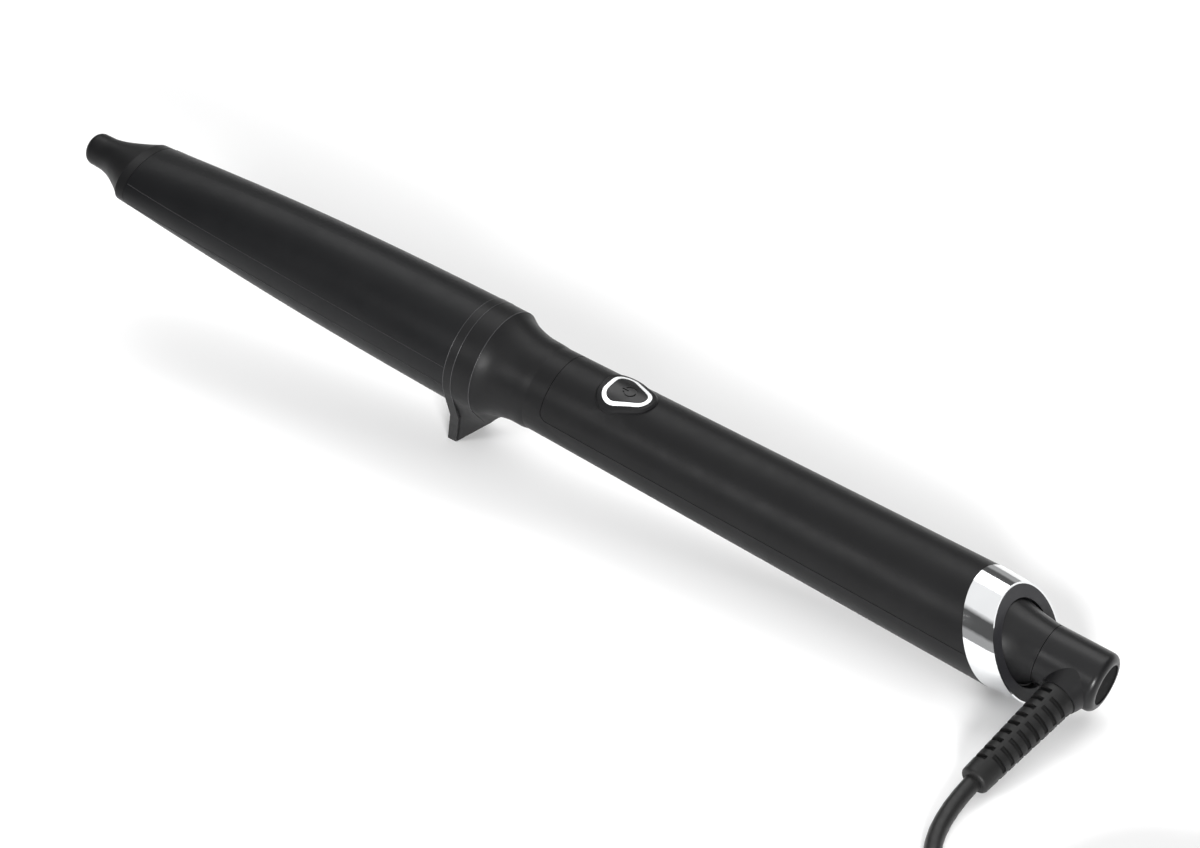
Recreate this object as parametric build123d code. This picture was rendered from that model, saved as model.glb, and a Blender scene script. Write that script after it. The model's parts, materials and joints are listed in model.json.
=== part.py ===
from build123d import *
import math
import os

# Curling wand, in millimetres.
# Two frames are used. In the wand's own frame X runs along the wand, x = 0 is the middle of the chrome
# ring's rear face, the hot tip points to -X, and +Z is the side with the power button.
# The finished pieces are then tilted so that the wand rests on its stand and on its rear ring, with
# the table at Z = 0 and the origin under the middle of the wand.

# ---- driving dimensions ----
RING_R = 17.0            # chrome ring, front edge
RING_REAR_R = 16.35      # chrome ring, rear edge
RING_LENGTH = 10.8       # along the axis
REAR_SLANT = 31.0        # degrees, rear face of the ring
FRONT_SLANT = 27.5       # degrees, front face of the ring
HANDLE_FRONT_X = -170.3
HANDLE_FRONT_R = 14.35
HANDLE_REAR_R = 16.9     # where the handle meets the ring
HANDLE_REAR_X = -14.0
WALL = 2.2
SEAM = 0.2               # gap that shows as a parting line

COLLAR_R = 18.5
COLLAR_FRONT_X = -205.6
PLATE = 3.4              # thickness of the stand plate
COLLAR_REAR_X = -195.1
STAND_DEPTH = 35.2       # axis to the bottom of the stand
STAND_HALF = 7.0         # half width of the stand at its bottom
STAND_REAR_X = -208.5    # middle of the stand's bottom
STAND_LEAN = 4.5         # how far the plate's bottom leans forward
STAND_BEND_Z = -18.6     # the plate is upright above this height
PARTING_Z = 0.8          # height of the line between the two handle shells

BARREL_TIP_X = -344.6
BARREL_BASE = 18.4       # radius of the round base
TIP_HALF_W = 14.3        # half width of the oval end
TIP_HALF_H = 8.8         # half height of the oval end
BARREL_WALL = 1.4
HEATER_REAR_X = -207.6
TIP_END_X = -370.5
TIP_END_R = 5.6

BUTTON_X = -147.0

SWIVEL_R = 9.55
SWIVEL_FRONT_X = 7.1
SWIVEL_REAR_X = 27.0
SPINDLE_R = 5.0
RUNNING = 0.05           # radial clearance of the swivel's spindle
RELIEF_X = 19.0
RELIEF_END = (12.0, -48.5, -11.3)
RELIEF_ROOT_R = 5.9
RELIEF_END_R = 4.7

ORIGIN_X = 170.94        # the ring's rear face from the middle of the wand

# ---- mains cord, in the table's frame ----
CORD_R = 2.7
FLOOR_Z = 2.72           # height of the cord's middle where it lies on the table
# The strain relief's end comes before the first point, and the last one is where the coil begins.
CORD_ROUTE = [(180.6, -60.3, FLOOR_Z), (185.4, -79.0, FLOOR_Z), (199.0, -93.2, FLOOR_Z),
              (217.2, -103.8, FLOOR_Z), (237.4, -113.0, FLOOR_Z), (256.8, -122.3, FLOOR_Z)]
COIL_MIDDLE = (275.0, -92.0)
COIL_MID_R = 30.0        # middle of the coil's turns
COIL_COLUMNS = 3         # turns side by side
COIL_LAYERS = 4          # turns on each other
TIE_ANGLE = 95.0         # place of the tie round the coil, degrees
TIE_WIDTH = 9.0
TIE_THICK = 1.0
# The lead leaves the coil's top and comes down to the plug, which lies on the table beside it.
LEAD_ROUTE = [(263.0, -126.6, 23.2), (278.0, -128.4, 23.6), (294.0, -127.6, 21.0), (309.0, -123.0, 16.4),
              (320.5, -113.5, 11.8), (326.5, -100.5, 8.4), (327.5, -87.5, 7.0)]
PLUG_HEADING = 90.0      # degrees from +X
PLUG_TAIL = 20.0
PLUG_BODY = 32.0
PLUG_HALF = 7.0          # half height
PIN_LENGTH = 19.0
PIN_SLEEVE = 10.0        # insulated part of each pin
PIN_SPACING = 18.6

# ---- frame: the wand leans on the stand and on the ring's lower rear corner ----
RING_CORNER_X = RING_REAR_R * math.tan(math.radians(REAR_SLANT))
TILT = math.degrees(math.atan2(STAND_DEPTH - RING_REAR_R, RING_CORNER_X - STAND_REAR_X))
COS_T = math.cos(math.radians(TILT))
SIN_T = math.sin(math.radians(TILT))
LIFT = RING_CORNER_X * SIN_T + RING_REAR_R * COS_T
PLACE = Pos(ORIGIN_X, 0, LIFT) * Rot(0, TILT, 0)

made = {}


def keep(name, solid):
    """Put a piece made in the wand's frame on the table, under its node name."""
    placed = [PLACE * s for s in solid.solids()]
    made[name] = placed[0] if len(placed) == 1 else Compound(children=placed)


def keep_flat(name, solid):
    """Keep a piece that is already placed on the table."""
    made[name] = solid


# ---- helpers ----
def turned(points):
    """Body of revolution about the wand's axis from (x, radius) points."""
    face = make_face(Plane.XZ * Polyline(*points, close=True))
    return revolve(face, axis=Axis.X)


def disc(x0, x1, r, hole=0.0):
    """Round piece along X from x0 to x1."""
    piece = Pos((x0 + x1) / 2, 0, 0) * Rot(0, 90, 0) * Cylinder(r, abs(x1 - x0))
    if hole:
        piece -= Pos((x0 + x1) / 2, 0, 0) * Rot(0, 90, 0) * Cylinder(hole, abs(x1 - x0) + 2)
    return piece


def rod(p, q, r):
    """Straight round bar from p to q."""
    return Solid.make_cylinder(r, (Vector(q) - Vector(p)).length, Plane(origin=p, z_dir=Vector(q) - Vector(p)))


def block(x0, x1, y0, y1, z0, z1):
    return Pos((x0 + x1) / 2, (y0 + y1) / 2, (z0 + z1) / 2) * Box(x1 - x0, y1 - y0, z1 - z0)


def slanted(x0, lean):
    """Plane through (x0, 0, 0) whose top leans toward the tip; its normal points to the cord end."""
    a = math.radians(lean)
    return Plane(origin=(x0, 0, 0), x_dir=(0, 1, 0), z_dir=(math.cos(a), 0, math.sin(a)))


def behind(piece, plane):
    return split(piece, bisect_by=plane, keep=Keep.TOP)


def before(piece, plane):
    return split(piece, bisect_by=plane, keep=Keep.BOTTOM)


def oval(x, half_w, half_h):
    return Plane(origin=(x, 0, 0), x_dir=(0, 1, 0), z_dir=(1, 0, 0)) * Ellipse(half_w, half_h)


def wire_run(points, r, bend):
    """Insulated wire along points, with rounded corners."""
    path = FilletPolyline(*points, radius=bend)
    section = Plane(origin=points[0], z_dir=path % 0) * Circle(r)
    return sweep(section, path=path)


def handle_radius(x, extra=0.0):
    slope = (HANDLE_REAR_R - HANDLE_FRONT_R) / (HANDLE_REAR_X - HANDLE_FRONT_X)
    return HANDLE_FRONT_R + slope * (x - HANDLE_FRONT_X) + extra


def handle_body(x0, x1, extra=0.0):
    """Tapered round body that follows the handle's outside."""
    return turned([(x0, 0), (x1, 0), (x1, handle_radius(x1, extra)), (x0, handle_radius(x0, extra))])


# ---- hot barrel ----
def barrel_half_axes(t):
    """Half width and half height; t is 0 at the round base and 1 at the oval tip end."""
    half_w = BARREL_BASE - (BARREL_BASE - TIP_HALF_W) * t
    half_h = BARREL_BASE - (BARREL_BASE - TIP_HALF_H) * t**2.3
    return half_w, half_h


def barrel_form(inset, x_base, x_tip):
    """Stretch of the barrel's lofted form, inset from its outside."""
    length = COLLAR_FRONT_X - BARREL_TIP_X
    sections = []
    for t in (0.0, 0.2, 0.4, 0.6, 0.8, 1.0, 1.02):
        half_w, half_h = barrel_half_axes(t)
        sections.append(oval(COLLAR_FRONT_X - t * length, half_w - inset, half_h - inset))
    return loft(sections) & block(x_tip, x_base, -25, 25, -25, 25)


def make_barrel():
    outside = barrel_form(0, COLLAR_FRONT_X - 0.05, BARREL_TIP_X)
    inside = barrel_form(BARREL_WALL, COLLAR_FRONT_X, BARREL_TIP_X - 1)
    socket_tube = disc(COLLAR_FRONT_X - 1.5, -196.0, 15.0)
    bore = disc(COLLAR_FRONT_X - 4.0, -195.0, 13.6)
    lip = disc(COLLAR_FRONT_X - 1.5, COLLAR_FRONT_X - 0.05, 17.6)
    keep("barrel", (outside - inside) + (lip + socket_tube) - bore)


def make_tip():
    t_end = barrel_half_axes(1.0)
    band = loft([oval(BARREL_TIP_X - 0.15, *t_end), oval(BARREL_TIP_X - 3.8, t_end[0] - 0.25, t_end[1] - 0.25)])
    outline = [(3.8, 14.05, 8.55), (6.5, 11.9, 8.0), (10.5, 9.3, 7.2), (15.0, 7.0, 6.35), (19.5, 5.9, 5.75)]
    neck = loft([oval(BARREL_TIP_X - d, w, h) for d, w, h in outline])
    knob_x = BARREL_TIP_X - 19.5
    knob = loft([oval(knob_x, 5.9, 5.75), oval(TIP_END_X, TIP_END_R, TIP_END_R)])
    knob = fillet(knob.edges().sort_by(Axis.X)[0], 2.6)
    spigot = barrel_form(BARREL_WALL + 0.1, BARREL_TIP_X + 5.0, BARREL_TIP_X - 0.2)
    pocket = Pos(BARREL_TIP_X + 0.5, 0, 0) * Box(9.2, 15, 8)
    keep("tip_cap", band + neck + knob + spigot - pocket)
    keep("tip_insulator", barrel_form(BARREL_WALL + 0.2, BARREL_TIP_X + 8.6, BARREL_TIP_X + 5.1))


def make_heater():
    """Two spreader halves press the ceramic heater plate between them and touch the barrel's wall."""
    front, rear = BARREL_TIP_X + 9.0, HEATER_REAR_X
    form = barrel_form(BARREL_WALL + 0.15, rear, front)
    hollow = barrel_form(BARREL_WALL + 3.2, COLLAR_FRONT_X, front - 1)
    pad = block(front, rear, -9.5, 9.5, 2.0, 4.2)
    web = block(front, rear, -2.6, 2.6, 4.0, 20)
    upper = (form - hollow) + (form & (pad + web))
    upper = upper & block(front, rear, -25, 25, 0.4, 25)
    upper -= rod((rear + 1, 0, 9), (rear - 9, 0, 9), 0.8)
    keep("spreader_upper", upper)
    keep("spreader_lower", Rot(180, 0, 0) * upper)
    keep("heater_plate", block(front + 8, rear - 12, -8.5, 8.5, -1.8, 1.8))
    keep("thermal_fuse", rod((-228, -6, 6.4), (-217, -6, 6.4), 2.0))
    keep("thermistor", rod((-262, 6, 5.6), (-257, 6, 5.6), 1.2))


def make_flange():
    """Heat-resisting disc in the barrel's base, with the screws that hold the spreader halves."""
    screw_z = 9.0
    flange = disc(-205.9, -202.6, 13.4, 4.6)
    screws = []
    for side in (1, -1):
        at = side * screw_z
        flange -= rod((-208, 0, at), (-200, 0, at), 1.0)
        shank = rod((-213.5, 0, at), (-202.6, 0, at), 0.75)
        head = rod((-202.6, 0, at), (-201.1, 0, at), 1.7) - block(-201.7, -201.0, -2, 2, at - 0.25, at + 0.25)
        screws.append(shank + head)
    keep("barrel_flange", flange)
    keep("flange_screws", Compound(children=screws))


# ---- stand and handle ----
def stand_outline(r, depth, half):
    """Face in the YZ plane: a circle that runs by straight tangents into a flat bottom."""
    reach = math.hypot(half, depth)
    angle = math.atan2(-depth, half) + math.acos(r / reach)
    ty, tz = r * math.cos(angle), r * math.sin(angle)
    round_part = ThreePointArc((ty, tz), (0, r), (-ty, tz))
    rest = Polyline((-ty, tz), (-half, -depth), (half, -depth), (ty, tz))
    return make_face(Plane.YZ * (Wire([round_part] + list(rest.edges()))))


def along_y(points):
    """Wide slab whose side view is the polygon of (x, z) points."""
    face = make_face(Plane.XZ * Polyline(*points, close=True))
    return extrude(face, amount=40, both=True)


def table_cut(piece):
    """Cut a piece off where it would reach below the table."""
    table = Plane(origin=(STAND_REAR_X, 0, -STAND_DEPTH), x_dir=(0, 1, 0), z_dir=(-SIN_T, 0, COS_T))
    return split(piece, bisect_by=table, keep=Keep.TOP)


def make_stand():
    """Safety stand: a plate round the barrel's base that runs down into a foot."""
    front, rear = COLLAR_FRONT_X, COLLAR_FRONT_X + PLATE
    deep = STAND_DEPTH + 3
    outline = Pos(front - 10, 0, 0) * extrude(stand_outline(COLLAR_R, deep, STAND_HALF - 0.6), amount=20)
    lean = STAND_LEAN * (deep + STAND_BEND_Z) / (STAND_DEPTH + STAND_BEND_Z)
    side = along_y([(front, 25), (front, STAND_BEND_Z), (front - lean, -deep),
                    (rear - lean, -deep), (rear, STAND_BEND_Z), (rear, 25)])
    plate = table_cut(outline & side) - disc(front - 5, rear + 5, 15.15)
    keep("stand_plate", plate)


def flare_section(x, r, depth, half):
    return Pos(x, 0, 0) * stand_outline(r, max(depth, r + 0.12), half)


def neck_form():
    """Solid form of the neck: a band behind the plate, then a flare down to the handle, with the foot's rib."""
    rear = COLLAR_FRONT_X + PLATE
    lean_x = rear - STAND_LEAN

    def rib_depth(x):
        return STAND_DEPTH - 1.2 * (x - lean_x)

    band_x = (lean_x - 1.0, (lean_x + COLLAR_REAR_X) / 2, COLLAR_REAR_X)
    band = loft([flare_section(x, COLLAR_R - 0.05, rib_depth(x), STAND_HALF) for x in band_x])
    front_side = along_y([(rear - 20, 30), (rear, 30), (rear, STAND_BEND_Z), (lean_x - 1.2, -40), (rear - 20, -40)])
    flare = [(COLLAR_REAR_X, 18.3, 6.9), (-192.6, 16.95, 6.0), (-189.8, 15.85, 5.0),
             (-186.5, 15.05, 4.4), (-182.5, 14.6, 4.0), (-177.0, handle_radius(-177.0), 4.0)]
    cone = loft([flare_section(x, r, rib_depth(x), half) for x, r, half in flare])
    return table_cut(band - front_side) + cone


def upper_region(gap):
    """Space of the upper shell in side view, with its rounded lower front corner."""
    corner = 3.0
    x0, z0 = HANDLE_FRONT_X - gap, PARTING_Z - gap
    face = Pos(x0 + 125, z0 + 20) * RectangleRounded(250, 40, corner)
    return extrude(Plane.XZ * face, amount=40, both=True)


def button_outline(grow):
    """Rounded triangle, wide toward the tip, grown outward by the given amount."""
    circles = [(3.5, 0.0, 4.4), (-2.7, 2.3, 4.9), (-2.7, -2.3, 4.9)]
    rings = Sketch() + [Pos(BUTTON_X + x, y) * Circle(r + grow) for x, y, r in circles]
    return make_hull(rings.edges())


def button_prism(grow, z0, z1):
    return Pos(0, 0, z0) * extrude(button_outline(grow), amount=z1 - z0)


def make_shells():
    end_plane = slanted(-RING_LENGTH - 0.25, FRONT_SLANT)
    outside = handle_body(-177.0, 5.0)
    inside = handle_body(-177.5, 6.0, -WALL)
    body = before(outside - inside, end_plane)
    upper = body & upper_region(0)
    mound = handle_body(BUTTON_X - 14, BUTTON_X + 14, 0.95) & button_prism(1.9, 9.0, 20.0)
    mound = chamfer(mound.faces().sort_by(Axis.Z)[-1].edges(), 0.5)
    mound -= handle_body(BUTTON_X - 15, BUTTON_X + 15, -WALL / 3)
    upper = upper + mound - button_prism(0.1, 5.0, 20.0)
    keep("upper_shell", upper)
    neck = neck_form() - disc(-215, -194.8, 15.15) - disc(-195, -176.9, 12.1)
    lower = neck + (before(handle_body(-177.0, 5.0), end_plane) - inside)
    lower = lower - upper_region(SEAM)
    for x in (-143.0, -70.0):
        for y in (-7.0, 7.0):
            floor_z = -math.sqrt((handle_radius(x) - WALL + 0.5) ** 2 - y * y)
            post = rod((x, y, floor_z), (x, y, 1.9), 2.4) - rod((x, y, -4), (x, y, 3), 0.85)
            lower += post
    keep("lower_shell", lower)


# ---- power button ----
def make_button():
    surface = handle_body(BUTTON_X - 14, BUTTON_X + 14, 0.98)
    ring = (surface & button_prism(0.0, 10.0, 20.0)) - button_prism(-1.35, 5.0, 20.0)
    keep("light_ring", ring)
    face = handle_body(BUTTON_X - 14, BUTTON_X + 14, 1.15) & button_prism(-1.47, 10.0, 20.0)
    lip = button_prism(-0.5, 9.0, 9.8)
    neck = button_prism(-1.47, 9.8, 10.0)
    stem = rod((BUTTON_X, 0, 8.55), (BUTTON_X, 0, 9.0), 1.6)
    symbol_top = 20.0
    deep = handle_radius(BUTTON_X, 1.15) - 0.35
    groove = Circle(2.35) - Circle(1.85)
    groove -= Pos(-2.2, 0) * Rectangle(2.4, 1.7)
    groove += Pos(-1.75, 0) * Rectangle(2.3, 0.5)
    cut = Pos(BUTTON_X + 0.4, 0, deep) * extrude(groove, amount=symbol_top - deep)
    keep("power_button", (face + neck + lip + stem) - cut)


# ---- electronics ----
def make_board():
    x0, x1 = -155.6, -62.0
    board = block(x0, x1, -9.5, 9.5, 2.0, 3.6)
    screws = []
    for x in (-143.0, -70.0):
        for y in (-7.0, 7.0):
            board -= rod((x, y, 1), (x, y, 5), 1.1)
            head = rod((x, y, 3.65), (x, y, 5.0), 1.8) - block(x - 1.2, x + 1.2, y - 0.25, y + 0.25, 4.5, 5.2)
            screws.append(rod((x, y, -3.5), (x, y, 3.65), 0.8) + head)
    keep("circuit_board", board)
    keep("board_screws", Compound(children=screws))
    switch = block(BUTTON_X - 3, BUTTON_X + 3, -3, 3, 3.6, 7.1)
    keep("tact_switch", switch + rod((BUTTON_X, 0, 7.1), (BUTTON_X, 0, 7.9), 1.7))
    lamps = [block(BUTTON_X + dx - 0.9, BUTTON_X + dx + 0.9, dy - 0.8, dy + 0.8, 3.6, 4.8)
             for dx, dy in ((7.0, 0), (-5.4, 4.6), (-5.4, -4.6))]
    keep("indicator_lamps", Compound(children=lamps))
    keep("controller_chip", block(-132, -124, -4, 4, 3.6, 4.9))
    keep("buzzer", rod((-114, 0, 3.6), (-114, 0, 8.2), 5.0) - rod((-114, 0, 7.4), (-114, 0, 8.5), 0.9))
    keep("film_capacitor", fillet(block(-102, -89, -3.2, 3.2, 3.6, 12.0).edges(), 0.6))
    keep("triac", block(-83, -78.5, -5, 5, 3.6, 12.2))
    front_block = block(-155.3, -153.6, -4.0, 4.0, 3.6, 7.6)
    rear_block = block(-66.5, -62.5, -6.0, 6.0, 3.6, 10.5)
    keep("board_terminals", Compound(children=[front_block, rear_block]))


def make_wiring():
    heater_rear = HEATER_REAR_X - 12.0
    wires = []
    for y in (-2.4, 2.4):
        wires.append(wire_run([(heater_rear, y, 0), (-194, y, 0), (-178, y, 5.6), (-155.3, y, 5.6)], 1.0, 8.0))
    keep("heater_wires", Compound(children=wires))
    supply = [rod((-62.5, y, 7.0), (-30.0, y, 7.0), 0.9) for y in (-2.6, 2.6)]
    keep("supply_wires", Compound(children=supply))


# ---- rear ring, end cap and swivel ----
def slanted_round(x0, lean, r):
    """Face in a slanted plane that looks round along the wand."""
    return slanted(x0, lean) * Ellipse(r, r / math.cos(math.radians(lean)))


def slanted_body(stations, inset=0.0):
    return loft([slanted_round(x0, angle, r - inset) for x0, angle, r in stations])


def make_rear():
    stations = [(-RING_LENGTH, FRONT_SLANT, RING_R), (-5.2, 29.4, 16.74), (0.0, REAR_SLANT, RING_REAR_R)]
    longer = [(-RING_LENGTH - 0.02, FRONT_SLANT, RING_R), (-5.2, 29.4, 16.74), (0.02, REAR_SLANT, RING_REAR_R)]
    keep("end_ring", slanted_body(stations) - slanted_body(longer, 0.5))
    cap = slanted_body([(-RING_LENGTH + 0.2, FRONT_SLANT, RING_R), (-5.2, 29.4, 16.74),
                        (-0.05, REAR_SLANT, RING_REAR_R)], 0.55)
    cap += before(disc(-15.0, 12.0, 14.3), slanted(-6.0, 29.4))
    cap -= slanted_body([(-2.2, REAR_SLANT, 12.15), (1.0, REAR_SLANT, 12.15)])
    cap -= disc(-16, 12, 5.5)
    keep("end_cap", cap)
    neck = [(-2.2, 31, 11.9), (-1.7, 30.5, 11.75), (1.1, 24, 10.7), (3.5, 16, 10.1), (5.4, 8, 9.72)]
    form = loft([slanted_round(*s) for s in neck] + [slanted_round(SWIVEL_FRONT_X - 0.2, 0, SWIVEL_R)])
    keep("swivel_neck", form - disc(-12, 12, SPINDLE_R + RUNNING))


def relief_frame():
    """Plane at the swivel's middle whose normal runs down the strain relief."""
    start = Vector(RELIEF_X, 0, 0)
    run = Vector(RELIEF_END) - start
    return start, run.normalized(), run.length


def relief_cone(d0, d1, r0, r1):
    start, way, _ = relief_frame()
    plane = Plane(origin=start + way * d0, x_dir=(0, way.Z, -way.Y), z_dir=way)
    if abs(r0 - r1) < 1e-6:
        return plane * Pos(0, 0, (d1 - d0) / 2) * Cylinder(r0, d1 - d0)
    return plane * Pos(0, 0, (d1 - d0) / 2) * Cone(r0, r1, d1 - d0)


def make_swivel():
    x0, x1 = SWIVEL_FRONT_X, SWIVEL_REAR_X
    body = disc(x0, x1, SWIVEL_R)
    body = fillet(body.edges().sort_by(Axis.X)[-1], 2.4)
    boss = relief_cone(4.0, 11.6, 8.4, 6.3)
    body = body + boss
    body -= relief_cone(5.0, 20.0, 4.0, 4.0)
    body -= disc(x0 - 1, 22.0, 3.2)
    body -= disc(x0 - 1, x0 + 6.0, SPINDLE_R)
    body -= disc(x1 - 1.0, x1 + 1.0, 6.6)
    keep("swivel_body", body)
    badge = disc(x1 - 1.0, x1 - 0.25, 6.55)
    keep("swivel_end_disc", fillet(badge.edges().sort_by(Axis.X)[-1], 0.3))
    spindle = disc(-27.0, x0 + 6.0, SPINDLE_R, 3.2) - (disc(-16.5, -15.3, 7.0) - disc(-17, -15, 4.3))
    keep("swivel_spindle", spindle)
    clip = disc(-16.45, -15.35, 7.2, 4.35) - block(-17, -15, -1.6, 1.6, 2, 9)
    keep("spindle_clip", clip)
    rings = [disc(x - 1.0, x + 1.0, 6.0, SPINDLE_R) for x in (-20.0, -24.5)]
    keep("contact_rings", Compound(children=rings))
    cores = [rod((-18.0, y, 0), (12.0, y, 0), 1.1) for y in (-1.45, 1.45)]
    keep("swivel_wires", Compound(children=cores))
    holder = block(-27.5, -17.0, -8.0, 8.0, -12.0, -8.0)
    keep("brush_holder", holder & handle_body(-40, -5, -WALL - 0.1))
    brushes = [block(x - 0.9, x + 0.9, -2.0, 2.0, -8.0, -6.05) for x in (-20.0, -24.5)]
    keep("brushes", Compound(children=brushes))


def make_relief():
    """Strain relief with staggered slots in four rows and a plain collar at the cord's end."""
    start, way, length = relief_frame()
    d0, d1 = 11.6, length
    plug = relief_cone(5.5, 11.6, 3.95, 3.95)
    skirt = relief_cone(d0, d1, RELIEF_ROOT_R, RELIEF_END_R)
    skirt = fillet(skirt.edges().sort_by(Axis.Y)[0], 1.2)
    body = plug + skirt
    first, last, count = 14.4, length - 6.5, 9
    pitch = (last - first) / (count - 1)
    for row in range(4):
        for i in range(count):
            d = first + pitch * (i + (0.5 if row % 2 else 0.0))
            if d > last + 0.1:
                continue
            r = RELIEF_ROOT_R + (RELIEF_END_R - RELIEF_ROOT_R) * (d - d0) / (d1 - d0)
            plane = Plane(origin=start + way * d, x_dir=(0, way.Z, -way.Y), z_dir=way)
            slot = plane * Rot(0, 0, 45 + 90 * row) * Pos(r, 0, 0) * Box(2 * 1.5, 1.25 * r, 1.55)
            body -= slot
    keep("strain_relief", body)


# ---- mains cord, lying on the table ----
def corner_radii(points):
    """Each corner's radius: as large as its two runs allow."""
    radii = []
    for a, b, c in zip(points, points[1:], points[2:]):
        run_in, run_out = Vector(b) - Vector(a), Vector(c) - Vector(b)
        half_turn = math.radians(run_in.get_angle(run_out) / 2)
        radii.append(0.45 * min(run_in.length, run_out.length) / math.tan(half_turn))
    return radii


def cord_tube(name, points):
    radii = corner_radii(points)
    path = FilletPolyline(*points, radius=radii)
    tube = sweep(Plane(origin=points[0], z_dir=path % 0) * Circle(CORD_R), path=path)
    keep_flat(name, tube)
    print(name, "radii", [round(r, 1) for r in radii], "length", round(path.length, 1),
          "volume ratio", round(tube.volume / (math.pi * CORD_R**2 * path.length), 4))


def coil_section(grow):
    """Ring of the coil's section, grown outward on all sides by the given amount."""
    half_w, half_h = COIL_COLUMNS * CORD_R + grow, COIL_LAYERS * CORD_R + grow
    return Cylinder(COIL_MID_R + half_w, 2 * half_h) - Cylinder(COIL_MID_R - half_w, 2 * half_h + 2)


def make_cord():
    start = (PLACE * Pos(*RELIEF_END)).position
    cord_tube("cord", [(start.X, start.Y, start.Z)] + CORD_ROUTE)
    cord_tube("plug_lead", LEAD_ROUTE)


def make_coil():
    """The stored length as one ring, pinched a little where the tie goes round it."""
    half_w, half_h = COIL_COLUMNS * CORD_R, COIL_LAYERS * CORD_R
    middle = Pos(*COIL_MIDDLE, half_h)
    at = Rot(0, 0, TIE_ANGLE) * Pos(COIL_MID_R, 0, 0)
    ring = coil_section(0)
    ring = fillet(ring.edges(), 2.4)
    pinch = TIE_THICK / 2
    core = Box(2 * (half_w - pinch), TIE_WIDTH + 3, 2 * (half_h - pinch))
    notch = Box(4 * half_w, TIE_WIDTH + 0.4, 4 * half_h) - core
    keep_flat("cord_coil", middle * (ring - at * notch))
    outside = Box(2 * (half_w + pinch), TIE_WIDTH, 2 * half_h)
    inside = Box(2 * (half_w - pinch) + 0.1, TIE_WIDTH + 2, 2 * half_h - 2 * pinch + 0.1)
    band = fillet(outside.edges().filter_by(Axis.Y), 1.2) - inside
    keep_flat("cord_tie", middle * at * band)


def make_plug():
    """Flat two-pin plug; in its own frame it runs along +X from the end of the lead."""
    at = Pos(*LEAD_ROUTE[-1]) * Rot(0, 0, PLUG_HEADING)
    end = PLUG_TAIL + PLUG_BODY
    tail = Pos(PLUG_TAIL / 2, 0, 0) * Rot(0, 90, 0) * Cone(3.4, 5.4, PLUG_TAIL)
    outline = Polyline((end, 11), (end - 9, 13), (end - 17, 13), (PLUG_TAIL, 6.5),
                       (PLUG_TAIL, -6.5), (end - 17, -13), (end - 9, -13), (end, -11), close=True)
    slab = Pos(0, 0, -PLUG_HALF) * extrude(make_face(outline), amount=2 * PLUG_HALF)
    slab = fillet(slab.edges().filter_by(Axis.Z), 1.5)
    keep_flat("plug_body", at * (fillet(slab.edges().group_by(Axis.Z)[-1], 2.0) + tail))
    pins = []
    for side in (1, -1):
        y = side * PIN_SPACING / 2
        sleeve = rod((end, y, 0), (end + PIN_SLEEVE, y, 0), 1.6)
        tip = rod((end + PIN_SLEEVE, y, 0), (end + PIN_LENGTH, y, 0), 2.0)
        pins.append(at * (sleeve + fillet(tip.edges().sort_by(Axis.X)[-1], 1.2)))
    keep_flat("plug_pins", Compound(children=pins))


make_barrel()
make_tip()
make_heater()
make_flange()
make_stand()
make_shells()
make_button()
make_board()
make_wiring()
make_rear()
make_swivel()
make_relief()
make_cord()
make_coil()
make_plug()

for name, solid in made.items():
    export_step(solid, f"parts/{name}.step")
on_cord = ("strain_relief", "cord", "cord_coil", "cord_tie", "plug_lead", "plug_body", "plug_pins")
box = Compound(children=[s for n, s in made.items() if n not in on_cord]).bounding_box()
print("object without its cord", box.min, box.max, "tilt", round(TILT, 3))
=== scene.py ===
import json
import math

import bpy
from mathutils import Matrix, Vector


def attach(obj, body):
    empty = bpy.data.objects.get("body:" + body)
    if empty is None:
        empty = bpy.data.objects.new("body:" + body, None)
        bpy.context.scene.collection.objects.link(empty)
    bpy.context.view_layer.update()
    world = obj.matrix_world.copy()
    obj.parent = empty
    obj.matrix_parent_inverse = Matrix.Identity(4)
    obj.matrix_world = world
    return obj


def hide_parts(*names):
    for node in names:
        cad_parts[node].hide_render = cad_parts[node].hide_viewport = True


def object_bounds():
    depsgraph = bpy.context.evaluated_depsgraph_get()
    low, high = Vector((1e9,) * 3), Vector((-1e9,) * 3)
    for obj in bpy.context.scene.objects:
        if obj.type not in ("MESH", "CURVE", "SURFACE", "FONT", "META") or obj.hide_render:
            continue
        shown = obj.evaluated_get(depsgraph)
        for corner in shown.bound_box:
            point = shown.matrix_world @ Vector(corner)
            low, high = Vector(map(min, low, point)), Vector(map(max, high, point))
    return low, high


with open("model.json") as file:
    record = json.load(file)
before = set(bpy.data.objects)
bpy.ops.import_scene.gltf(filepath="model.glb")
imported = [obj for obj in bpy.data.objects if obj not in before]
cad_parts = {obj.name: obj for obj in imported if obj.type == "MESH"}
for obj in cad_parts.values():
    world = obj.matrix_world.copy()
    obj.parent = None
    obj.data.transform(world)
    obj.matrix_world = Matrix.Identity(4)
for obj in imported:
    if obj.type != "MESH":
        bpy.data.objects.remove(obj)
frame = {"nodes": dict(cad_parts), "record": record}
cad_box = [list(corner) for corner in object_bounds()]
nodes = frame["nodes"]

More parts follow.
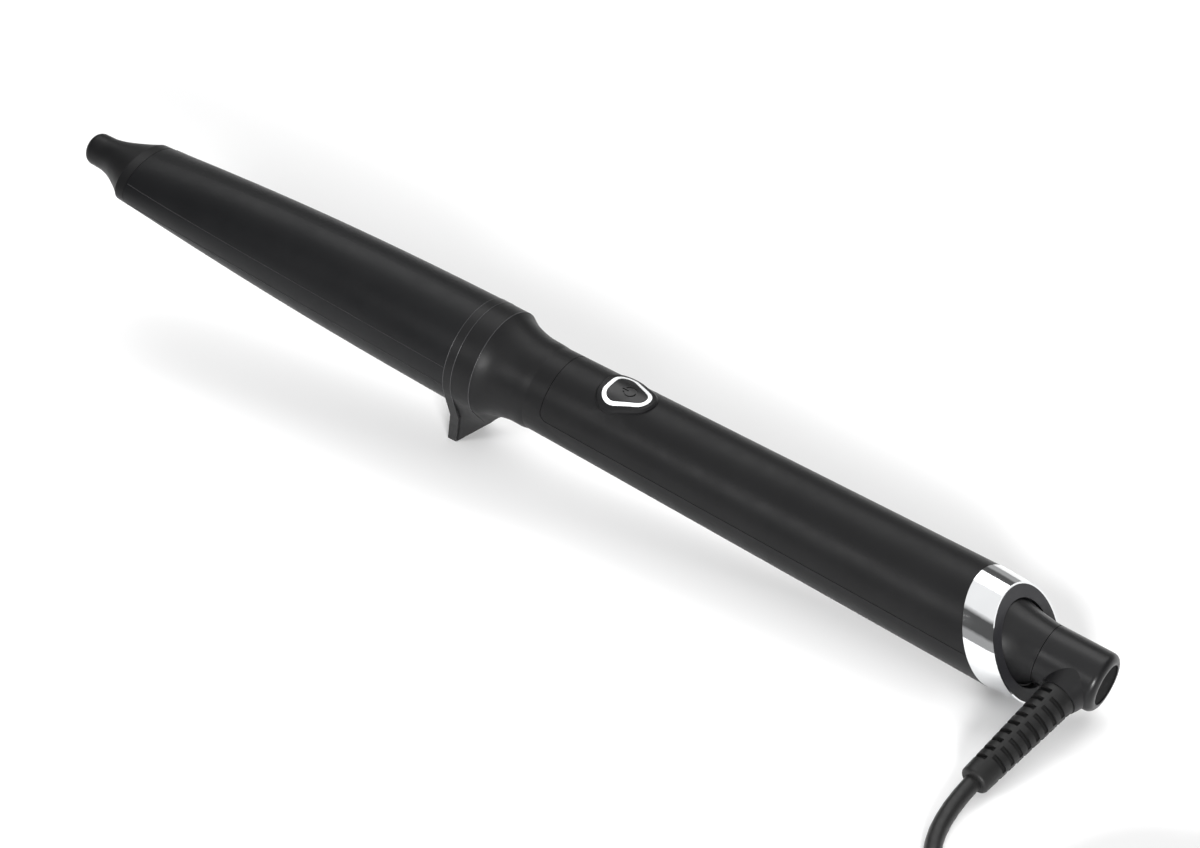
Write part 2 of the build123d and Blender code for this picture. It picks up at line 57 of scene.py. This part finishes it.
# ---- sizes and places, in metres; the wand's own frame is the CAD's ----
ORIGIN_X = 0.17094
RING_REAR_R = 0.01635
RING_CORNER_X = RING_REAR_R * math.tan(math.radians(31))
STAND_REAR_X = -0.2085
STAND_DEPTH = 0.0352
TILT = math.atan2(STAND_DEPTH - RING_REAR_R, RING_CORNER_X - STAND_REAR_X)
LIFT = RING_CORNER_X * math.sin(TILT) + RING_REAR_R * math.cos(TILT)
WAND = Matrix.Translation((ORIGIN_X, 0, LIFT)) @ Matrix.Rotation(TILT, 4, "Y")
CORD_R = 0.0027
FLOOR_Z = 0.00272
RELIEF_END = (0.012, -0.0485, -0.0113)
CORD_ROUTE = [(0.1806, -0.0603, FLOOR_Z), (0.1854, -0.0790, FLOOR_Z), (0.1990, -0.0932, FLOOR_Z),
              (0.2172, -0.1038, FLOOR_Z), (0.2374, -0.1130, FLOOR_Z)]
COIL_MIDDLE = (0.2750, -0.0920)
COIL_MID_R = 0.030
COIL_COLUMNS = 3
COIL_LAYERS = 4
COIL_START = 239.0       # degrees, where the cord meets the coil
COIL_TURNS = 12 - 14 / 360
COIL_CLIMB = 65.0        # degrees over which the last turn rises onto the coil
COIL_STEP = 0.14         # share of a turn over which the cord moves to the next place
POINTS_PER_TURN = 16
TIE_ANGLE = 95.0         # degrees, place of the tie round the coil
TIE_REACH = 14.0         # degrees over which the tie draws the turns together
TIE_SQUEEZE = 0.07
LEAD_ROUTE = [(0.2630, -0.1266, 0.0243), (0.2780, -0.1284, 0.0238), (0.2940, -0.1276, 0.0210),
              (0.3090, -0.1230, 0.0164), (0.3205, -0.1135, 0.0118), (0.3265, -0.1005, 0.0084),
              (0.3275, -0.0875, 0.0070)]
LIP_R = 0.00013
LIP_LEVELS = (0.0045, -0.0026)      # heights of the barrel's lips beside its axis
LIP_FRONT_X = -0.3440
LIP_REAR_X = -0.2060
LIP_POINTS = 32
COLLAR_LIPS = (("stand_plate", -0.20545), ("stand_plate", -0.20235), ("lower_shell", -0.19520))
COLLAR_LIP_SINK = 0.00007           # how far each lip's middle lies under the surface
COLLAR_LIP_POINTS = 64
COLLAR_LIP_START = -30              # degrees round the axis, from the far side over the top
COLLAR_LIP_SWEEP = 240
OUTSIDE = 0.05                      # radius well outside the wand, where rays start
CAMERA_PLACE = (0.48934, -0.6607, 0.6824)
CAMERA_LOOK = (-0.45443, 0.63253, -0.62721)
CAMERA_LENS = 99
FLOOR_HALF = 4.0
# name, place, target, width, height, power
LIGHTS = (("key", (-0.3, 0.9, 1.3), (0, 0, 0), 2.2, 0.9, 17),
          ("fill", (0.95, -1.0, 0.5), (0, 0, 0.02), 0.35, 0.3, 26),
          ("side", (-0.12, -0.57, 0.46), (0.15, 0, 0.03), 0.25, 0.2, 1.8))
SKY = ((0.26, 0.4), (0.36, 0.1), (0.76, 0.1), (0.86, 1.0))    # height of the direction, grey tone
SKY_STRENGTH = 1.05


# ---- camera ----
def make_camera():
    data = bpy.data.cameras.new("camera")
    data.lens = CAMERA_LENS
    data.sensor_width = 36
    data.clip_end = 20
    camera = bpy.data.objects.new("camera", data)
    bpy.context.scene.collection.objects.link(camera)
    camera.rotation_euler = Vector(CAMERA_LOOK).to_track_quat("-Z", "Y").to_euler()
    camera.location = CAMERA_PLACE
    bpy.context.scene.camera = camera


# ---- helpers for materials ----
class Shader:
    """A Principled material and short ways to feed its colour, roughness and bump."""

    def __init__(self, name, color, roughness, **fixed):
        self.material = bpy.data.materials.new(name)
        self.material.use_nodes = True
        self.material.diffuse_color = (*color, 1)
        self.tree = self.material.node_tree
        self.surface = self.tree.nodes["Principled BSDF"]
        self.surface.inputs["Base Color"].default_value = (*color, 1)
        self.surface.inputs["Roughness"].default_value = roughness
        for socket, value in fixed.items():
            self.surface.inputs[socket.replace("_", " ")].default_value = value
        self.place = self.add("ShaderNodeTexCoord").outputs["Object"]
        self.height = None

    def add(self, kind, **values):
        node = self.tree.nodes.new(kind)
        for key, value in values.items():
            setattr(node, key, value)
        return node

    def link(self, source, target):
        self.tree.links.new(source, target)

    def stretched(self, scale, turn=0.0):
        """Object coordinates, scaled along each axis after a turn about Y."""
        mapping = self.add("ShaderNodeMapping")
        mapping.inputs["Rotation"].default_value = (0, turn, 0)
        mapping.inputs["Scale"].default_value = scale
        self.link(self.place, mapping.inputs["Vector"])
        return mapping.outputs["Vector"]

    def noise(self, scale, detail=3.0, vector=None):
        node = self.add("ShaderNodeTexNoise")
        node.inputs["Scale"].default_value = scale
        node.inputs["Detail"].default_value = detail
        self.link(vector or self.place, node.inputs["Vector"])
        return node.outputs["Fac"]

    def spread(self, source, low, high, floor=0.3, ceiling=0.7):
        node = self.add("ShaderNodeMapRange")
        node.inputs["From Min"].default_value = floor
        node.inputs["From Max"].default_value = ceiling
        node.inputs["To Min"].default_value = low
        node.inputs["To Max"].default_value = high
        self.link(source, node.inputs["Value"])
        return node.outputs["Result"]

    def vary_color(self, source, dark, light):
        ramp = self.add("ShaderNodeValToRGB")
        ramp.color_ramp.elements[0].position = 0.3
        ramp.color_ramp.elements[1].position = 0.7
        ramp.color_ramp.elements[0].color = (*dark, 1)
        ramp.color_ramp.elements[1].color = (*light, 1)
        self.link(source, ramp.inputs["Fac"])
        self.link(ramp.outputs["Color"], self.surface.inputs["Base Color"])

    def vary_roughness(self, source, low, high):
        self.link(self.spread(source, low, high), self.surface.inputs["Roughness"])

    def bump(self, source, strength, distance):
        node = self.add("ShaderNodeBump")
        node.inputs["Strength"].default_value = strength
        node.inputs["Distance"].default_value = distance
        self.link(source, node.inputs["Height"])
        if self.height:
            self.link(self.height, node.inputs["Normal"])
        self.height = node.outputs["Normal"]
        self.link(self.height, self.surface.inputs["Normal"])


def plastic(name, shade, roughness, grain=2500, depth=0.12, tint=1.04, **fixed):
    """Moulded plastic: faint cloudiness, fine grain and small changes of gloss."""
    s = Shader(name, (shade, shade, shade * tint), roughness, **fixed)
    dark = (shade * 0.88, shade * 0.88, shade * 0.9 * tint)
    light = (shade * 1.12, shade * 1.12, shade * 1.14 * tint)
    s.vary_color(s.noise(60), dark, light)
    s.vary_roughness(s.noise(220, 4), roughness - 0.035, roughness + 0.035)
    s.bump(s.noise(grain, 2), depth, 0.00012)
    return s.material


def metal(name, color, roughness, brushing=(200, 200, 4000), depth=0.05):
    """Drawn or turned metal with fine lines in its colour, gloss and relief."""
    s = Shader(name, color, roughness, Metallic=1.0)
    lines = s.noise(1.0, 3, s.stretched(brushing, TILT))
    s.vary_color(lines, tuple(c * 0.94 for c in color), tuple(min(1, c * 1.05) for c in color))
    s.vary_roughness(lines, roughness * 0.8, roughness * 1.2)
    s.bump(lines, depth, 0.00004)
    return s.material


def rubber(name, shade, roughness, grain=1800, **fixed):
    """Soft moulded rubber with a coarser, deeper grain than plastic."""
    s = Shader(name, (shade, shade, shade), roughness, **fixed)
    s.vary_color(s.noise(90, 4), (shade * 0.85,) * 3, (shade * 1.2,) * 3)
    s.vary_roughness(s.noise(400, 3), roughness - 0.06, roughness + 0.06)
    s.bump(s.noise(grain, 3), 0.2, 0.00015)
    return s.material


def coloured(name, color, roughness, grain=900, **fixed):
    """Small inner part in one material with a slight mottle."""
    s = Shader(name, color, roughness, **fixed)
    s.vary_color(s.noise(300, 4), tuple(c * 0.88 for c in color), tuple(min(1, c * 1.08) for c in color))
    s.vary_roughness(s.noise(500), roughness - 0.05, roughness + 0.05)
    s.bump(s.noise(grain, 2), 0.1, 0.00005)
    return s.material


def barrel_coating():
    """Ceramic coating: satin, with a very fine sprayed texture."""
    s = Shader("barrel_coating", (0.006, 0.0062, 0.0067), 0.4, Specular_IOR_Level=0.16)
    s.vary_color(s.noise(45, 4), (0.0052, 0.0054, 0.006), (0.0068, 0.007, 0.0076))
    s.vary_roughness(s.noise(150, 5), 0.37, 0.43)
    s.bump(s.noise(3500, 2), 0.1, 0.0001)
    s.bump(s.noise(350, 2), 0.05, 0.0002)
    return s.material


def chrome():
    """Polished plating with a faint haze and very slight unevenness."""
    s = Shader("chrome_ring", (0.8, 0.81, 0.82), 0.07, Metallic=1.0)
    haze = s.noise(120, 3)
    s.vary_color(haze, (0.78, 0.79, 0.8), (0.82, 0.83, 0.84))
    s.vary_roughness(haze, 0.055, 0.085)
    s.bump(s.noise(700, 1), 0.02, 0.00001)
    return s.material


def paint(node, material):
    """Gives a CAD node one material in place of its own."""
    mesh = nodes[node].data
    mesh.materials.clear()
    mesh.materials.append(material)


def make_materials():
    looks = {
        "barrel_coating": barrel_coating(),
        "tip_plastic": plastic("tip_plastic", 0.0065, 0.42, Specular_IOR_Level=0.16),
        "handle_plastic": plastic("handle_plastic", 0.0065, 0.42, grain=3200, depth=0.16,
                                  Specular_IOR_Level=0.16),
        "stand_plastic": plastic("stand_plastic", 0.0075, 0.4, Specular_IOR_Level=0.16),
        "cap_plastic": plastic("cap_plastic", 0.018, 0.4, tint=1.1, Specular_IOR_Level=0.3),
        "swivel_plastic": plastic("swivel_plastic", 0.0075, 0.34, depth=0.08, Specular_IOR_Level=0.25),
        "button_plastic": plastic("button_plastic", 0.008, 0.3, depth=0.05, Specular_IOR_Level=0.3),
        "light_guide": coloured("light_guide", (0.9, 0.91, 0.92), 0.3),
        "chrome_ring": chrome(),
        "heater_ceramic": coloured("heater_ceramic", (0.82, 0.8, 0.75), 0.7),
        "spreader_metal": metal("spreader_metal", (0.78, 0.79, 0.8), 0.35, (60, 3000, 3000)),
        "mica": coloured("mica", (0.55, 0.47, 0.33), 0.5),
        "screw_steel": metal("screw_steel", (0.55, 0.56, 0.58), 0.3),
        "wire_sleeve": rubber("wire_sleeve", 0.6, 0.6),
        "supply_sleeve": coloured("supply_sleeve", (0.22, 0.09, 0.04), 0.45),
        "board": coloured("board", (0.02, 0.16, 0.05), 0.35),
        "terminal_plastic": coloured("terminal_plastic", (0.03, 0.12, 0.4), 0.4),
        "chip_plastic": plastic("chip_plastic", 0.02, 0.5),
        "capacitor_film": coloured("capacitor_film", (0.6, 0.33, 0.03), 0.3),
        "fuse_metal": metal("fuse_metal", (0.7, 0.7, 0.68), 0.3),
        "bead_glass": coloured("bead_glass", (0.8, 0.5, 0.2), 0.1),
        "lamp_plastic": coloured("lamp_plastic", (0.9, 0.9, 0.8), 0.2),
        "switch_plastic": plastic("switch_plastic", 0.03, 0.35),
        "spindle_plastic": plastic("spindle_plastic", 0.06, 0.4),
        "spring_steel": metal("spring_steel", (0.35, 0.35, 0.37), 0.3),
        "contact_brass": metal("contact_brass", (0.8, 0.6, 0.25), 0.2),
        "relief_rubber": rubber("relief_rubber", 0.009, 0.45, Specular_IOR_Level=0.25),
        "cord_rubber": rubber("cord_rubber", 0.01, 0.42, Specular_IOR_Level=0.3),
        "tie_rubber": rubber("tie_rubber", 0.02, 0.6),
        "plug_plastic": plastic("plug_plastic", 0.015, 0.42),
        "pin_metal": metal("pin_metal", (0.78, 0.77, 0.73), 0.22),
    }
    for part in frame["record"]["subparts"]:
        paint(part["node"], looks[part["material_slot"]])
    paint("swivel_end_disc", plastic("swivel_disc_plastic", 0.004, 0.45, depth=0.03,
                                     Specular_IOR_Level=0.03, IOR=1.2))
    return looks


# ---- mains cord ----
def coil_points():
    """Turns of the coil, laid layer on layer from the bottom outside, anticlockwise seen from above."""
    points = []
    total = int(COIL_TURNS * POINTS_PER_TURN)
    cells = COIL_COLUMNS * COIL_LAYERS
    for i in range(total + 1):
        at = i / total * COIL_TURNS
        turn = int(at)
        layer, column = coil_cell(turn)
        next_layer, next_column = coil_cell(min(turn + 1, cells - 1))
        move = max(0.0, (at - turn - (1 - COIL_STEP)) / COIL_STEP)
        column += (next_column - column) * move
        layer += (next_layer - layer) * move
        degrees = COIL_START + at * 360
        climb = max(0.0, 1 - (COIL_TURNS - at) * 360 / COIL_CLIMB)
        off = (degrees - TIE_ANGLE + 180) % 360 - 180
        squeeze = 1 - TIE_SQUEEZE * math.exp(-(off / TIE_REACH) ** 2)
        r = COIL_MID_R + (column - (COIL_COLUMNS - 1) / 2) * 2 * CORD_R * squeeze
        z = COIL_LAYERS * CORD_R + (layer - (COIL_LAYERS - 1) / 2) * 2 * CORD_R * squeeze
        z += 2 * CORD_R * climb * climb * (3 - 2 * climb)
        a = math.radians(degrees)
        points.append((COIL_MIDDLE[0] + r * math.cos(a), COIL_MIDDLE[1] + r * math.sin(a), z))
    return points


def coil_cell(turn):
    """Layer and column of one turn; columns run inwards on even layers and outwards on odd ones."""
    layer, step = divmod(turn, COIL_COLUMNS)
    return layer, (step if layer % 2 else COIL_COLUMNS - 1 - step)


def make_cord(material):
    start = WAND @ Vector(RELIEF_END)
    route = [tuple(start)] + CORD_ROUTE + coil_points() + LEAD_ROUTE
    curve = bpy.data.curves.new("mains_cord", "CURVE")
    curve.dimensions = "3D"
    curve.bevel_depth = CORD_R
    curve.bevel_resolution = 6
    curve.use_fill_caps = True
    spline = curve.splines.new("NURBS")
    spline.points.add(len(route) - 1)
    for point, place in zip(spline.points, route):
        point.co = (*place, 1)
    spline.order_u = 3
    spline.use_endpoint_u = True
    spline.resolution_u = 4
    cord = bpy.data.objects.new("mains_cord", curve)
    bpy.context.scene.collection.objects.link(cord)
    cord.data.materials.append(material)
    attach(cord, "cord_side")
    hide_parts("cord", "cord_coil", "plug_lead")


# ---- fine lips on the barrel and the stand's collar, lighter than their surfaces: painted highlights along the edges ----
def make_lips(name, lines, material):
    """One piece of thin round lips that follow the given lines of points; the material given to them is
    lighter than the surface beside them, a painted highlight along each edge.
    """
    curve = bpy.data.curves.new(name, "CURVE")
    curve.dimensions = "3D"
    curve.bevel_depth = LIP_R
    curve.bevel_resolution = 2
    for line in lines:
        spline = curve.splines.new("POLY")
        spline.points.add(len(line) - 1)
        for point, place in zip(spline.points, line):
            point.co = (*place, 1)
    lips = bpy.data.objects.new(name, curve)
    bpy.context.scene.collection.objects.link(lips)
    lips.data.materials.append(material)
    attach(lips, "wand")


def barrel_line(side, level):
    """Points on one side of the barrel, where its side strip meets a plate."""
    line = []
    for i in range(LIP_POINTS):
        x = LIP_FRONT_X + (LIP_REAR_X - LIP_FRONT_X) * i / (LIP_POINTS - 1)
        start = WAND @ Vector((x, side * OUTSIDE, level))
        line.append(nodes["barrel"].ray_cast(start, Vector((0, -side, 0)))[1])
    return line


def collar_line(node, x):
    """Points round the stand's plate or the band behind it, from one side of the foot to the other."""
    line = []
    for i in range(COLLAR_LIP_POINTS):
        angle = math.radians(COLLAR_LIP_START + COLLAR_LIP_SWEEP * i / (COLLAR_LIP_POINTS - 1))
        inward = WAND.to_3x3() @ Vector((0, -math.cos(angle), -math.sin(angle)))
        hit = nodes[node].ray_cast(WAND @ Vector((x, 0, 0)) - OUTSIDE * inward, inward)[1]
        place = hit + COLLAR_LIP_SINK * inward
        line.append((place.x, min(place.y, cad_box[1][1] - LIP_R), place.z))
    return line


# ---- floor and light ----
def make_floor():
    s = Shader("floor", (0.93, 0.93, 0.93), 0.6)
    s.vary_color(s.noise(3, 2), (0.92, 0.92, 0.92), (0.94, 0.94, 0.94))
    mesh = bpy.data.meshes.new("floor")
    corners = [(x * FLOOR_HALF, y * FLOOR_HALF, 0) for x, y in ((-1, -1), (1, -1), (1, 1), (-1, 1))]
    mesh.from_pydata(corners, [], [(0, 1, 2, 3)])
    floor = bpy.data.objects.new("floor", mesh)
    bpy.context.scene.collection.objects.link(floor)
    floor.data.materials.append(s.material)


def area_light(name, place, target, width, height, power):
    data = bpy.data.lights.new(name, "AREA")
    data.shape = "RECTANGLE"
    data.size = width
    data.size_y = height
    data.energy = power
    light = bpy.data.objects.new(name, data)
    light.location = place
    light.rotation_euler = (Vector(target) - Vector(place)).to_track_quat("-Z", "Y").to_euler()
    bpy.context.scene.collection.objects.link(light)


def make_world():
    """White overhead, dark walls above a grey horizon, as in a studio with one large softbox."""
    world = bpy.data.worlds.new("room")
    bpy.context.scene.world = world
    world.use_nodes = True
    tree = world.node_tree
    place = tree.nodes.new("ShaderNodeTexCoord")
    parts = tree.nodes.new("ShaderNodeSeparateXYZ")
    ramp = tree.nodes.new("ShaderNodeValToRGB")
    stops = ramp.color_ramp.elements
    stops[0].position = SKY[0][0]
    stops[1].position = SKY[1][0]
    for position, tone in SKY[2:]:
        stops.new(position)
    for stop, (position, tone) in zip(stops, SKY):
        stop.color = (tone, tone, tone, 1)
    tree.links.new(place.outputs["Generated"], parts.inputs["Vector"])
    tree.links.new(parts.outputs["Z"], ramp.inputs["Fac"])
    tree.links.new(ramp.outputs["Color"], tree.nodes["Background"].inputs["Color"])
    tree.nodes["Background"].inputs["Strength"].default_value = SKY_STRENGTH


def make_light():
    make_world()
    for light in LIGHTS:
        area_light(*light)
    bpy.context.scene.view_settings.view_transform = "Standard"


make_camera()
looks = make_materials()
make_cord(looks["cord_rubber"])
# Barrel lips: thin ridges that catch the lamps, in a shade lighter than the barrel coating; the lighter
# shade is a painted highlight along the edges where the side strips meet the plates.
make_lips("barrel_lips", [barrel_line(side, level) for side in (-1, 1) for level in LIP_LEVELS],
          plastic("lip_painted_highlight", 0.016, 0.4, depth=0.03, Specular_IOR_Level=0.3))
# Collar lips: thin ridges that catch the lamps, in a shade four times lighter than the stand plastic;
# the lighter shade is a painted highlight on the plate's two edges and on the sharp rim behind the band.
make_lips("collar_lips", [collar_line(node, x) for node, x in COLLAR_LIPS],
          plastic("collar_lip_painted_highlight", 0.03, 0.35, depth=0.03))
make_floor()
make_light()
